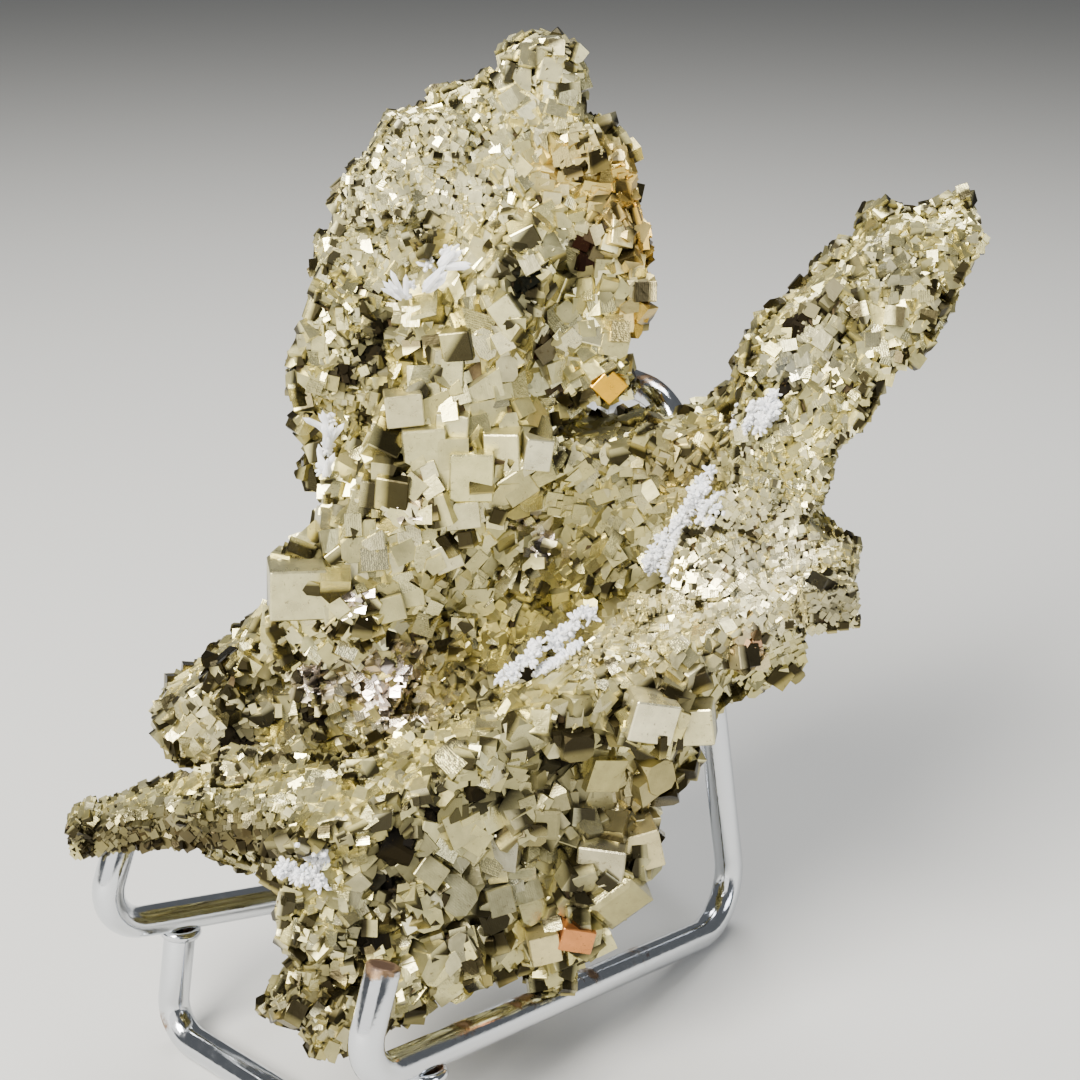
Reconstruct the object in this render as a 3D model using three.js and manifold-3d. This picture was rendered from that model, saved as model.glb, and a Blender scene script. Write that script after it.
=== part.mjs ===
// A pyrite specimen leaning on a bent chrome wire stand. The pyrite is a group of intergrown blades,
// crusted all over with cubes, with small white quartz druses in its hollows.
// Millimetres, +Z up. The show side faces -Y. The origin is on the surface that the stand rests on,
// under the middle of the whole object's box.

import * as THREE from "three";
import { mergeVertices } from "three/addons/utils/BufferGeometryUtils.js";
import Module from "manifold-3d";

const wasm = await Module();
wasm.setup();

// The stand's wire, and the corners of its centre line. The stand is bent by hand, so that its two
// sides are not quite alike.
const WIRE_DIAMETER = 4.5;
const WIRE_SIDES = 10;
const BEND_STEPS = 5;
const HOOK_BEND = 6;
const REAR_BEND = 8;
const FOOT_BEND = 5;
const WIRE_RADIUS = WIRE_DIAMETER / 2;
const REAR_CORNER = -0.4; // the rear bends round these corners off, so that the wire there rests at 0
const STAND = {
  left: {
    tip: [-54.8, -14.5, 35],
    hook: [-58.5, -18, 23],
    rear: [14, 44, REAR_CORNER],
    shoulder: [9, 33.5, 84],
  },
  right: {
    tip: [-18, -45.2, 36.5],
    hook: [-21.5, -49.6, 23],
    rear: [30.3, 19.4, REAR_CORNER],
    shoulder: [19, 18.5, 84],
  },
};
const FOOT_SETBACK = 13; // along each rail, from its hook
const FOOT = { left: [-51.5, -11, WIRE_RADIUS], right: [-14.5, -42.5, WIRE_RADIUS] };

// Clearance that is kept between two pieces that touch
const GAP = 0.3;

// The least distance between two cubes of the crust, as a share of their mean size
const ROOM_FOR_A_CUBE = 1.45;

// The blades of the pyrite. A standing blade has its outline as [x, z] in front view, and its front
// face at y = y0 + alongX x + alongZ z. Its thickness is measured along Y.
const STANDING_BLADES = {
  sail: {
    outline: [
      [-48, 43], [-51, 48.5], [-43, 54], [-35, 60.5], [-31.5, 67], [-28, 71], [-28, 76], [-30.5, 85],
      [-32, 92.5], [-28.5, 103], [-26.5, 110], [-22, 117], [-18.5, 123], [-12, 124], [-5.5, 126.5],
      [-4, 131], [0, 132.5], [3.5, 131], [5.5, 122], [11, 118], [13, 110], [13, 103], [11, 98], [10, 91],
      [3, 85], [-8, 75], [-16, 55], [-22, 44], [-27, 42], [-38, 41],
    ],
    face: { y0: -10.8, alongX: 0.15, alongZ: 0.2 },
    thickness: 12,
    crystals: { front: 8.5, back: 15, size: 6 },
  },
  rib: {
    outline: [
      [-35, 61], [-34, 66], [-27, 71], [-23, 78], [-21, 88], [-13, 95], [-8, 104], [-2, 112],
      [2, 109], [-1, 99], [-4, 91], [1, 86], [0, 78], [-10, 73], [-16, 66], [-23, 59], [-31, 59],
    ],
    face: { y0: -17, alongX: 0.15, alongZ: 0.2 },
    thickness: 12,
    crystals: { front: 8, back: 30, size: 6 },
  },
  wall: {
    outline: [
      [-22, 43], [-22, 64], [-12, 78], [-6, 83], [8, 81.5], [17, 82], [25, 84], [26, 62], [17, 50],
      [0, 43],
    ],
    face: { y0: -2, alongX: 0, alongZ: 0.1 },
    thickness: 14,
    crystals: { front: 8, back: 15, size: 5.5 },
  },
  arm: {
    outline: [
      [25.5, 85], [26.5, 92], [29, 96], [35, 101], [42, 107], [46.5, 110.5], [50.5, 110], [55, 111.5],
      [57, 109], [54.5, 105], [52, 100], [49, 95], [45, 93], [42, 87], [38, 84], [37, 80], [34, 75],
      [38, 72], [39, 68], [32, 63], [20, 63], [17, 68], [19, 77],
    ],
    face: { y0: -32.5, alongX: 0, alongZ: 0.38 },
    thickness: 12,
    crystals: { front: 8, back: 15, size: 5.5 },
  },
  keel: {
    outline: [
      [-31, 44], [-31.5, 34], [-28.5, 27], [-18, 20], [-10, 18.5], [-2, 18.5], [3, 20], [8, 22.5],
      [9.5, 28], [13, 37], [18, 46], [23, 51], [24, 58], [19, 59], [3, 54], [-13, 50],
    ],
    face: { y0: -20, alongX: 0.5, alongZ: 0 },
    thickness: 13,
    crystals: { front: 8.5, back: 15, size: 6.5 },
  },
};

// A lying blade has its outline as [x, y] in plan, and its top face at z = z0 + alongX x + alongY y.
const LYING_BLADES = {
  ridge: {
    outline: [
      [-61.5, -17], [-49, -19], [-35, -24], [-24, -25], [-14, -26], [-7, -25], [0, -21], [10, -19],
      [20, -16.5], [28, -12.5], [35, -10.5], [39, -8.5], [40, -4], [36, 0], [20, -2], [8, -8],
      [-6, -14], [-14, -17], [-25, -18], [-35, -14], [-49, -13], [-57, -14],
    ],
    face: { z0: 62.5, alongX: 0.305, alongY: 0.35 },
    thickness: 4.5,
    crystals: { front: 7.5, back: 13, size: 4.4 },
  },
  floor: {
    outline: [
      [-43, -12], [-29, -18], [-14, -18], [8, -10], [24, -5], [35, -3], [29, 8], [0, 14], [-22, 10],
      [-41, -3],
    ],
    face: { z0: 50, alongX: 0.305, alongY: 0 },
    thickness: 7.5,
    crystals: { front: 9, back: 15, size: 6 },
  },
};

// The two short fingers at the lower left of the keel, each from its root to its tip
const FINGERS = [
  { root: [-15, -27, 35], tip: [-31.5, -35.5, 24.5], width: 6 },
  { root: [-12, -27, 25], tip: [-26.5, -35, 20.5], width: 7 },
];

// The largest single cubes, face-on to the show side. The last one rests on the stand's right rail.
const LARGE_CUBES = [
  { at: [-29.5, -7, 67], size: 8 },
  { at: [-25, -8, 65], size: 6 },
  { at: [-11, -1, 82], size: 7 },
  { at: [-4, -1, 81], size: 6.5 },
  { at: [-8, -2, 75], size: 6 },
  { at: [9, 12, 90], size: 5.5 },
  { at: [14, -20, 55], size: 6.5 },
  { at: [18.5, -15.5, 52.5], size: 6 },
  { at: [36, -13, 68], size: 6 },
  { at: [6.5, -18, 31], size: 8 },
  { at: [10.5, -15, 34], size: 7 },
  { at: [4, -19.5, 24], size: 6 },
  { at: [1.5, -18.5, 17.5], size: 5.6 },
];

// Pits between the blades, each an egg of the given radii
const PITS = [
  { at: [-24, -3, 90], radii: [4, 8, 6] },
  { at: [4, 7, 104], radii: [3, 6, 4] },
  { at: [31, -4, 94], radii: [4, 5, 3] },
  { at: [27, -6, 88], radii: [3, 6, 3] },
  { at: [-38, -4, 52], radii: [6, 5, 3] },
];

// Quartz druses: each a row of short six-sided crystals with pointed ends, grown out of the pyrite
const DRUSES = {
  quartz_upper_spray: { from: [-18, 6, 102], to: [-11, 8, 108], radius: 1.8, crystals: 5 },
  quartz_left_spray: { from: [-28, 1, 80], to: [-27, 2, 88], radius: 1.8, crystals: 5 },
  quartz_arm_patch: { from: [28, -1, 87], to: [30, 1, 91], radius: 1.7, crystals: 3 },
  quartz_saddle_crust: { from: [22, -2, 81], to: [14, 1, 66], radius: 2.1, crystals: 8 },
  quartz_ridge_crust: { from: [-5, -15, 58], to: [7, -6, 64], radius: 2, crystals: 7 },
  quartz_keel_patch: { from: [-31, -34, 42], to: [-25, -33, 41], radius: 2, crystals: 4 },
};
const CRYSTAL_LENGTH = 2.6; // as a share of the crystal's own radius

const MATERIALS = {
  pyrite: new THREE.MeshStandardMaterial({ color: 0xb5a878, metalness: 0.9, roughness: 0.4 }),
  quartz: new THREE.MeshStandardMaterial({ color: 0xf0f1f2, metalness: 0, roughness: 0.35 }),
  chrome: new THREE.MeshStandardMaterial({ color: 0xc8cbd0, metalness: 1, roughness: 0.12 }),
};

// A repeatable stream of numbers from 0 to 1.
function randomStream(seed) {
  let state = seed;
  return () => {
    state = (state + 0x6d2b79f5) | 0;
    let t = Math.imul(state ^ (state >>> 15), 1 | state);
    t = (t + Math.imul(t ^ (t >>> 7), 61 | t)) ^ t;
    return ((t ^ (t >>> 14)) >>> 0) / 4294967296;
  };
}

// A closed geometry as a solid that can be joined and cut.
function solidOf(geometry) {
  const bare = new THREE.BufferGeometry();
  bare.setAttribute("position", geometry.getAttribute("position"));
  if (geometry.index) bare.setIndex(geometry.index);
  const merged = mergeVertices(bare, 1e-4);
  return new wasm.Manifold(
    new wasm.Mesh({
      numProp: 3,
      vertProperties: merged.attributes.position.array,
      triVerts: new Uint32Array(merged.index.array),
    }),
  );
}

// A solid as a flat-shaded geometry.
function geometryOf(solid) {
  const mesh = solid.getMesh();
  const geometry = new THREE.BufferGeometry();
  geometry.setAttribute("position", new THREE.BufferAttribute(mesh.vertProperties, 3));
  geometry.setIndex(new THREE.BufferAttribute(mesh.triVerts, 1));
  const flat = geometry.toNonIndexed();
  flat.computeVertexNormals();
  return flat;
}

function joined(solids) {
  return solids.reduce((all, next) => all.add(next));
}

// The affine map from a blade's own (across, up, depth) to the object's frame. Depth 0 is the back or
// underside, and depth = thickness is the show face.
function bladeMatrix({ face, thickness }, lying) {
  const matrix = new THREE.Matrix4();
  if (lying) {
    matrix.makeBasis(
      new THREE.Vector3(1, 0, face.alongX),
      new THREE.Vector3(0, 1, face.alongY),
      new THREE.Vector3(0, 0, 1),
    );
    return matrix.setPosition(0, 0, face.z0 - thickness);
  }
  matrix.makeBasis(
    new THREE.Vector3(1, face.alongX, 0),
    new THREE.Vector3(0, face.alongZ, 1),
    new THREE.Vector3(0, -1, 0),
  );
  return matrix.setPosition(0, face.y0 + thickness, 0);
}

const BLADES = [
  ...Object.values(STANDING_BLADES).map((spec) => ({ ...spec, matrix: bladeMatrix(spec, false) })),
  ...Object.values(LYING_BLADES).map((spec) => ({ ...spec, matrix: bladeMatrix(spec, true) })),
];

function insideOutline(outline, u, w) {
  let inside = false;
  outline.forEach(([ax, ay], i) => {
    const [bx, by] = outline[(i + 1) % outline.length];
    if (ay > w !== by > w && u < ((bx - ax) * (w - ay)) / (by - ay) + ax) inside = !inside;
  });
  return inside;
}

// Whether a place is well inside the body of another blade, where a cube would not be seen.
function buried(place, own) {
  const depthKept = 2.5;
  return BLADES.some((other) => {
    if (other === own) return false;
    const local = place.clone().applyMatrix4(other.matrix.clone().invert());
    if (local.z < depthKept || local.z > other.thickness - depthKept) return false;
    return insideOutline(other.outline, local.x, local.y);
  });
}

// Where a cube may grow: its place, two directions of the face under it, its size, and the share of
// its size that it is sunk into the face.
function seed(place, across, normal, size, sink) {
  return { place, across: across.clone().normalize(), normal, size, sink };
}

// The seeds on one face of a blade, on a shaken grid.
function faceSeeds(blade, pitch, depth, normal, random) {
  const { outline, matrix, crystals } = blade;
  const across = new THREE.Vector3().setFromMatrixColumn(matrix, 0);
  const us = outline.map((p) => p[0]);
  const ws = outline.map((p) => p[1]);
  const seeds = [];
  for (let w = Math.min(...ws); w <= Math.max(...ws); w += pitch) {
    for (let u = Math.min(...us); u <= Math.max(...us); u += pitch) {
      const at = [u + pitch * (0.1 + 0.8 * random()), w + pitch * (0.1 + 0.8 * random())];
      const size = crystals.size * (0.75 + 0.6 * random() * random());
      const place = new THREE.Vector3(...at, depth).applyMatrix4(matrix);
      if (!insideOutline(outline, ...at) || buried(place, blade)) continue;
      seeds.push(seed(place, across, normal, size, 0.1 + 0.2 * random()));
    }
  }
  return seeds;
}

// The seeds round a blade's rim, sunk deeper than those of the faces, so that the outline is kept.
function rimSeeds(blade, up, random) {
  const { outline, matrix, crystals, thickness } = blade;
  const across = new THREE.Vector3().setFromMatrixColumn(matrix, 0);
  const way = Math.sign(THREE.ShapeUtils.area(outline.map(([x, y]) => ({ x, y }))));
  return outline.flatMap(([ax, ay], i) => {
    const [bx, by] = outline[(i + 1) % outline.length];
    const outward = across.clone().multiplyScalar(by - ay).addScaledVector(up, ax - bx);
    outward.multiplyScalar(way).normalize();
    const edge = across.clone().multiplyScalar(bx - ax).addScaledVector(up, by - ay);
    const steps = Math.max(1, Math.round(Math.hypot(bx - ax, by - ay) / (crystals.size * 1.6)));
    return Array.from({ length: steps }, (_, k) => {
      const share = (k + 0.2 + 0.6 * random()) / steps;
      const depth = thickness * (0.15 + 0.7 * random());
      const place = new THREE.Vector3(ax + (bx - ax) * share, ay + (by - ay) * share, depth);
      return seed(place.applyMatrix4(matrix), edge, outward, crystals.size * 0.9, 0.33);
    }).filter(({ place }) => !buried(place, blade));
  });
}

function bladeSeeds(blade, random) {
  const { matrix, crystals, thickness } = blade;
  const across = new THREE.Vector3().setFromMatrixColumn(matrix, 0);
  const up = new THREE.Vector3().setFromMatrixColumn(matrix, 1);
  const normal = new THREE.Vector3().crossVectors(across, up).normalize();
  return [
    ...rimSeeds(blade, up, random),
    ...faceSeeds(blade, crystals.front, thickness, normal, random),
    ...faceSeeds(blade, crystals.back, 0, normal.clone().negate(), random),
  ];
}

// The seeds that have room: each in turn is kept if no kept one is too near it.
function thinned(seeds) {
  const kept = [];
  for (const next of seeds) {
    const free = kept.every(
      (other) => other.place.distanceTo(next.place) > (ROOM_FOR_A_CUBE * (other.size + next.size)) / 2,
    );
    if (free) kept.push(next);
  }
  return kept;
}

// One cube of the crust, turned a little at random.
function cube({ place, across, normal, size, sink }, random) {
  const spread = () => random() - 0.5;
  const sides = [1, 1, 1].map(() => size * (0.8 + 0.45 * random()));
  const basis = new THREE.Matrix4().makeBasis(
    across,
    new THREE.Vector3().crossVectors(normal, across).normalize(),
    normal,
  );
  const turn = random() < 0.3 ? 1.6 : 0.6;
  const jitter = new THREE.Euler(spread() * turn, spread() * turn, spread() * turn * 1.3);
  const matrix = new THREE.Matrix4()
    .makeRotationFromEuler(jitter)
    .premultiply(basis)
    .setPosition(place.clone().addScaledVector(normal, -size * sink));
  return solidOf(new THREE.BoxGeometry(...sides).applyMatrix4(matrix));
}

function bladeBody({ outline, thickness, matrix }) {
  const shape = new THREE.Shape(outline.map(([u, w]) => new THREE.Vector2(u, w)));
  const body = new THREE.ExtrudeGeometry(shape, { depth: thickness, bevelEnabled: false });
  return solidOf(body.applyMatrix4(matrix));
}

// A finger is a row of cubes that shrink towards its tip.
function fingerSeeds({ root, tip, width }) {
  const from = new THREE.Vector3(...root);
  const to = new THREE.Vector3(...tip);
  const along = to.clone().sub(from).normalize();
  const side = new THREE.Vector3().crossVectors(along, new THREE.Vector3(0, 0, 1));
  const count = Math.round(from.distanceTo(to) / 4);
  return Array.from({ length: count + 1 }, (_, i) => {
    const share = i / count;
    return seed(from.clone().lerp(to, share), side, along, width * (1 - 0.35 * share), 0);
  });
}

function largeCube({ at, size }, random) {
  const turn = () => (random() - 0.5) * 0.5;
  const block = new THREE.BoxGeometry(size, size * 0.8, size * 0.9);
  block.applyMatrix4(new THREE.Matrix4().makeRotationFromEuler(new THREE.Euler(turn(), turn(), turn())));
  return solidOf(block.translate(...at));
}

function egg({ at, radii }) {
  return solidOf(new THREE.IcosahedronGeometry(1, 1).scale(...radii).translate(...at));
}

// A six-sided crystal along +Y, pointed at both ends.
function quartzCrystal(radius, length) {
  const profile = [
    [0, -length / 2],
    [radius, -length / 5],
    [radius * 0.9, length / 5],
    [0, length / 2],
  ];
  return new THREE.LatheGeometry(profile.map(([r, y]) => new THREE.Vector2(r, y)), 6);
}

function druse({ from, to, radius, crystals }) {
  const random = randomStream(5);
  const start = new THREE.Vector3(...from);
  const end = new THREE.Vector3(...to);
  const solids = Array.from({ length: crystals }, (_, i) => {
    const place = start.clone().lerp(end, i / (crystals - 1));
    const size = radius * (0.85 + 0.3 * random());
    const way = new THREE.Vector3(random() - 0.5, random() - 0.5, random() - 0.5);
    way.add(new THREE.Vector3(0, -0.7, 0.5)).normalize();
    const crystal = quartzCrystal(size, size * CRYSTAL_LENGTH);
    crystal.applyQuaternion(new THREE.Quaternion().setFromUnitVectors(new THREE.Vector3(0, 1, 0), way));
    return solidOf(crystal.translate(...place));
  });
  return joined(solids);
}

// The socket of a druse in the pyrite: a groove with round ends that clears every crystal of the row.
function druseSocket({ from, to, radius }) {
  const start = new THREE.Vector3(...from);
  const along = new THREE.Vector3(...to).sub(start);
  const reach = (radius * 1.15 * CRYSTAL_LENGTH) / 2 + GAP;
  const half = along.length() / 2;
  const profile = [
    [0, -half - reach * 1.1],
    [reach * 0.8, -half - reach * 0.7],
    [reach * 1.08, -half],
    [reach * 1.08, half],
    [reach * 0.8, half + reach * 0.7],
    [0, half + reach * 1.1],
  ];
  const groove = new THREE.LatheGeometry(profile.map(([r, y]) => new THREE.Vector2(r, y)), 8);
  const way = along.clone().normalize();
  groove.applyQuaternion(new THREE.Quaternion().setFromUnitVectors(new THREE.Vector3(0, 1, 0), way));
  return solidOf(groove.translate(...start.addScaledVector(along, 0.5)));
}

// A wire through the given corners, each [place, bend radius]. The first and the last are its ends.
class BentWire extends THREE.Curve {
  constructor(corners) {
    super();
    const places = corners.map(([place]) => new THREE.Vector3(...place));
    const rounded = corners.slice(1, -1).flatMap(([, radius], i) => {
      const corner = places[i + 1];
      const before = places[i].clone().sub(corner).normalize();
      const after = places[i + 2].clone().sub(corner).normalize();
      const half = before.angleTo(after) / 2;
      const middle = before.clone().add(after).normalize();
      const centre = corner.clone().addScaledVector(middle, radius / Math.sin(half));
      const first = corner.clone().addScaledVector(before, radius / Math.tan(half)).sub(centre);
      const last = corner.clone().addScaledVector(after, radius / Math.tan(half)).sub(centre);
      const axis = new THREE.Vector3().crossVectors(first, last).normalize();
      return Array.from({ length: BEND_STEPS + 1 }, (_, k) =>
        first.clone().applyAxisAngle(axis, (first.angleTo(last) * k) / BEND_STEPS).add(centre),
      );
    });
    this.points = [places[0], ...rounded, places[places.length - 1]];
  }
  // The curve's parameter runs evenly over the points, so that the bends get most of the steps.
  getUtoTmapping(u) {
    return u;
  }
  getPoint(t, target = new THREE.Vector3()) {
    const place = Math.min(Math.max(t, 0), 1) * (this.points.length - 1);
    const i = Math.min(Math.floor(place), this.points.length - 2);
    return target.lerpVectors(this.points[i], this.points[i + 1], place - i);
  }
}

function wireGeometry(wire, radius, sides) {
  const section = new THREE.Shape(
    Array.from({ length: sides }, (_, i) => {
      const turn = (i / sides) * Math.PI * 2;
      return new THREE.Vector2(Math.cos(turn) * radius, Math.sin(turn) * radius);
    }),
  );
  return new THREE.ExtrudeGeometry(section, { steps: wire.points.length - 1, extrudePath: wire });
}

// The frame is one wire: hook, rail, arch, rail, hook.
function frameWire() {
  const { left, right } = STAND;
  return new BentWire([
    [left.tip],
    [left.hook, HOOK_BEND],
    [left.rear, REAR_BEND],
    [left.shoulder, REAR_BEND],
    [right.shoulder, REAR_BEND],
    [right.rear, REAR_BEND],
    [right.hook, HOOK_BEND],
    [right.tip],
  ]);
}

// The foot is a second wire, butted against the underside of both rails.
function footWire() {
  const top = ({ hook, rear }, foot) => {
    const start = new THREE.Vector3(...hook);
    const rail = new THREE.Vector3(...rear).sub(start);
    const joint = start.addScaledVector(rail.normalize(), FOOT_SETBACK);
    const down = new THREE.Vector3(...foot).sub(joint).normalize();
    return joint.addScaledVector(down, WIRE_RADIUS + GAP).toArray();
  };
  return new BentWire([
    [top(STAND.left, FOOT.left)],
    [FOOT.left, FOOT_BEND],
    [FOOT.right, FOOT_BEND],
    [top(STAND.right, FOOT.right)],
  ]);
}

// The space that the stand takes out of the pyrite, with its clearance. Its flats are clear of the
// round wire.
function standSeat() {
  const sides = 8;
  const radius = (WIRE_RADIUS + GAP) / Math.cos(Math.PI / sides);
  return joined([frameWire(), footWire()].map((wire) => solidOf(wireGeometry(wire, radius, sides))));
}

// The largest body that is left, once the pits, the druses' sockets and the stand are cut away.
function buildPyrite() {
  const random = randomStream(11);
  const seeds = BLADES.flatMap((blade) => bladeSeeds(blade, random));
  const grown = joined([
    ...BLADES.map(bladeBody),
    ...LARGE_CUBES.map((spec) => largeCube(spec, random)),
    ...thinned(seeds).map((spec) => cube(spec, random)),
    ...FINGERS.flatMap(fingerSeeds).map((spec) => cube(spec, random)),
  ]);
  const sockets = Object.values(DRUSES).map(druseSocket);
  const cut = grown.subtract(joined([...PITS.map(egg), ...sockets, standSeat()]));
  return cut.decompose().sort((a, b) => b.volume() - a.volume())[0];
}

function named(name, geometry, material) {
  const mesh = new THREE.Mesh(geometry, material);
  mesh.name = name;
  return mesh;
}

const specimen = new THREE.Group();
specimen.add(
  named("pyrite", geometryOf(buildPyrite()), MATERIALS.pyrite),
  named("stand_frame", wireGeometry(frameWire(), WIRE_RADIUS, WIRE_SIDES), MATERIALS.chrome),
  named("stand_foot", wireGeometry(footWire(), WIRE_RADIUS, WIRE_SIDES), MATERIALS.chrome),
  ...Object.entries(DRUSES).map(([name, spec]) =>
    named(name, geometryOf(druse(spec)), MATERIALS.quartz),
  ),
);

// The origin goes under the middle of the whole object's box.
const box = new THREE.Box3().setFromObject(specimen, true);
const middle = box.getCenter(new THREE.Vector3());
specimen.position.set(-middle.x, -middle.y, -box.min.z);

export default specimen;
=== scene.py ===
# A pyrite specimen: intergrown blades of pyrite under a crust of cubes, with white quartz in the
# hollows, leaning on a stand bent from chromed wire. Metres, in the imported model's frame.
import math

import bmesh
import bpy
import numpy as np
from mathutils import Matrix, Vector
from mathutils.kdtree import KDTree


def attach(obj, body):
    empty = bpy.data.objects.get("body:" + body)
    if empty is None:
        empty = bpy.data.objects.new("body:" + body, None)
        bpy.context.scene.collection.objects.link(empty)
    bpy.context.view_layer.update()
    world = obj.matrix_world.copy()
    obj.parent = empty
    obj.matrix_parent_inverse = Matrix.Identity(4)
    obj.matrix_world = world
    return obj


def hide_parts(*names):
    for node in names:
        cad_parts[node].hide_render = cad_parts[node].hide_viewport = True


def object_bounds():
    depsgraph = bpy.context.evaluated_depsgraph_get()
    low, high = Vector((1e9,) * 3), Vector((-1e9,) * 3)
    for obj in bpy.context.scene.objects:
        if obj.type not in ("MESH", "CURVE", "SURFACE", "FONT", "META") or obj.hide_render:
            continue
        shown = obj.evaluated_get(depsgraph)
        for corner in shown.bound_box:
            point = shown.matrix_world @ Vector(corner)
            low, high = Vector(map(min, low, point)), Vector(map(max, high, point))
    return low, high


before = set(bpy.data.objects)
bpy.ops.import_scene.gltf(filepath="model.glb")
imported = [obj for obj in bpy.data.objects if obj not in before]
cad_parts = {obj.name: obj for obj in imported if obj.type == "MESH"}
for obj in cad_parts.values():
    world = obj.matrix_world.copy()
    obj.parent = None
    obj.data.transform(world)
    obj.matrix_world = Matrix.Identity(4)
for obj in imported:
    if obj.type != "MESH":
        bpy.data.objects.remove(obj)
cad_low, cad_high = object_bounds()
MM = 0.001
OFFSET = Vector((1.67, 2.64, 0))  # from the photograph's frame, in millimetres, to the model's


def corner(point):
    """A place given in millimetres in the photograph's frame, in metres in the model's."""
    return (Vector(point) + OFFSET) * MM


# Rock under the crust
# The massive pyrite that the crystals stand on: the same mineral, fine-grained, dull and stained
# brown by iron oxide. It is seen only in the cracks between the crystals.


def srgb(code):
    """An sRGB hex colour as linear values."""
    parts = [int(code[i : i + 2], 16) / 255 for i in (1, 3, 5)]
    return [c / 12.92 if c <= 0.04045 else ((c + 0.055) / 1.055) ** 2.4 for c in parts] + [1.0]


def add(tree, kind, settings=(), links=()):
    """Adds one node. Settings are (socket or attribute, value), links are (own socket, other output)."""
    made = tree.nodes.new(kind)
    for key, value in settings:
        if isinstance(key, str) and hasattr(made, key) and key not in made.inputs:
            setattr(made, key, value)
        else:
            made.inputs[key].default_value = value
    for key, output in links:
        tree.links.new(output, made.inputs[key])
    return made


def new_finish(name):
    """An empty material, its node tree and its output node."""
    finish = bpy.data.materials.new(name)
    finish.use_nodes = True
    finish.node_tree.nodes.clear()
    return finish, finish.node_tree, add(finish.node_tree, "ShaderNodeOutputMaterial")


def noise(tree, place, scale, detail, roughness=0.5):
    """Noise in the piece's own coordinates, so many lumps a metre."""
    made = add(
        tree,
        "ShaderNodeTexNoise",
        [("Scale", scale), ("Detail", detail), ("Roughness", roughness)],
        [("Vector", place.outputs["Object"])],
    )
    return made.outputs["Fac"]


def mapped(tree, value, low, high, to_low, to_high):
    """A value carried from one range to another, and kept inside it."""
    ends = [("From Min", low), ("From Max", high), ("To Min", to_low), ("To Max", to_high)]
    return add(tree, "ShaderNodeMapRange", ends, [("Value", value)]).outputs["Result"]


def scaled(tree, value, factor, more):
    """A value times a factor, plus another value."""
    settings = [("operation", "MULTIPLY_ADD"), (1, factor)]
    return add(tree, "ShaderNodeMath", settings, [(0, value), (2, more)]).outputs["Value"]


def bumped(tree, height, strength, distance, normal=None):
    """The normal of a surface that a height raises by so many metres."""
    settings = [("Strength", strength), ("Distance", distance)]
    links = [("Height", height)] + ([("Normal", normal)] if normal else [])
    return add(tree, "ShaderNodeBump", settings, links).outputs["Normal"]


def covered(tree, below, colour, share):
    """A colour with another laid over it, in a share from 0 to 1."""
    settings = [("data_type", "RGBA"), (7, srgb(colour))]
    return add(tree, "ShaderNodeMix", settings, [(0, share), (6, below)]).outputs[2]


def ramp(tree, value, *stops):
    """A colour for each value, from (value, hex colour) stops."""
    made = add(tree, "ShaderNodeValToRGB", links=[("Fac", value)])
    elements = made.color_ramp.elements
    elements[0].position, elements[1].position = stops[0][0], stops[-1][0]
    for position, _ in stops[1:-1]:
        elements.new(position)
    for element, (_, colour) in zip(elements, stops):
        element.color = srgb(colour)
    return made.outputs["Color"]


# Oxide-stained massive pyrite: dull brown with a faint metallic glint, so that the cracks go dark.
stained_rock, tree, out = new_finish("iron_stained_pyrite")
place = add(tree, "ShaderNodeTexCoord")
stain = noise(tree, place, 260.0, 6.0, 0.65)
rock_shader = add(
    tree,
    "ShaderNodeBsdfPrincipled",
    [("Metallic", 0.55), ("Roughness", 0.6)],
    [
        ("Base Color", ramp(tree, stain, (0.35, "#2A1E10"), (0.7, "#6B5A36"))),
        ("Normal", bumped(tree, stain, 0.6, 0.0003)),
    ],
)
tree.links.new(rock_shader.outputs["BSDF"], out.inputs["Surface"])


def mesh_of(name, shape):
    """A mesh from a bmesh, which is freed."""
    mesh = bpy.data.meshes.new(name)
    shape.to_mesh(mesh)
    shape.free()
    return mesh


def in_scene(name, data):
    """A new object in the scene that shows a mesh, or is a lamp or the camera."""
    made = bpy.data.objects.new(name, data)
    bpy.context.scene.collection.objects.link(made)
    return made


ROCK_SHRINK = 0.5 * MM

rock_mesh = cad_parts["pyrite"].data.copy()
rock_mesh.name = "pyrite_rock"
rock_mesh.materials.clear()
rock_mesh.materials.append(stained_rock)
rock = in_scene("pyrite_rock", rock_mesh)
bm = bmesh.new()
bm.from_mesh(rock_mesh)
bmesh.ops.remove_doubles(bm, verts=bm.verts, dist=1e-6)
bmesh.ops.triangulate(bm, faces=bm.faces)

# The surface that the crystals grow on, read before the rock is shrunk under them
corners = np.array([[v.co[:] for v in face.verts] for face in bm.faces])
for vertex in bm.verts:
    vertex.co -= vertex.normal * ROCK_SHRINK
bm.to_mesh(rock_mesh)
bm.free()
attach(rock, "root")
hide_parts("pyrite")


# Crust of pyrite crystals
# Thousands of pyrite cubes, grown into each other and into the rock: blocks of 3 to 5 mm on the keel
# and the rib, cubes of 2 to 3 mm on the wall and the knob, and grains of about 1 mm on the sail's
# face, the wing, the ridge and the arm's foot. Neighbours share their setting, and a few are wild.

dice = np.random.default_rng(20)

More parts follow.
